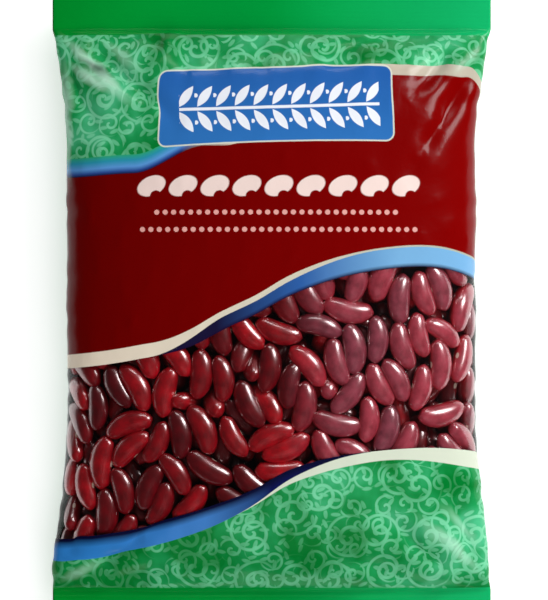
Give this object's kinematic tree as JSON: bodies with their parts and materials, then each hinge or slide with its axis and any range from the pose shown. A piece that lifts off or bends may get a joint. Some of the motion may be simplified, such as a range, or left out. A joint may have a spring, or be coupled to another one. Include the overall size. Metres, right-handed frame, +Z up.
{
  "type": "bag of dried beans",
  "caption": "Shut pillow bag of dried red kidney beans in printed film with a clear band, a fin seal on its back and a flat toothed seal at each end.",
  "frame": {"origin": "on the floor, under the middle of the bag's box", "axes": "+Z up, out of the bag's front, +Y along the bag towards its top seal, +X to the right as the front is seen"},
  "size_m": [0.15, 0.216, 0.0375],
  "materials": {
    "printed_film": "glossy printed plastic film",
    "clear_film": "clear glossy plastic film",
    "beans": "smooth waxy bean skin"
  },
  "bodies": {
    "root": {"bag_of_beans": "printed_film"}
  },
  "joints": []
}
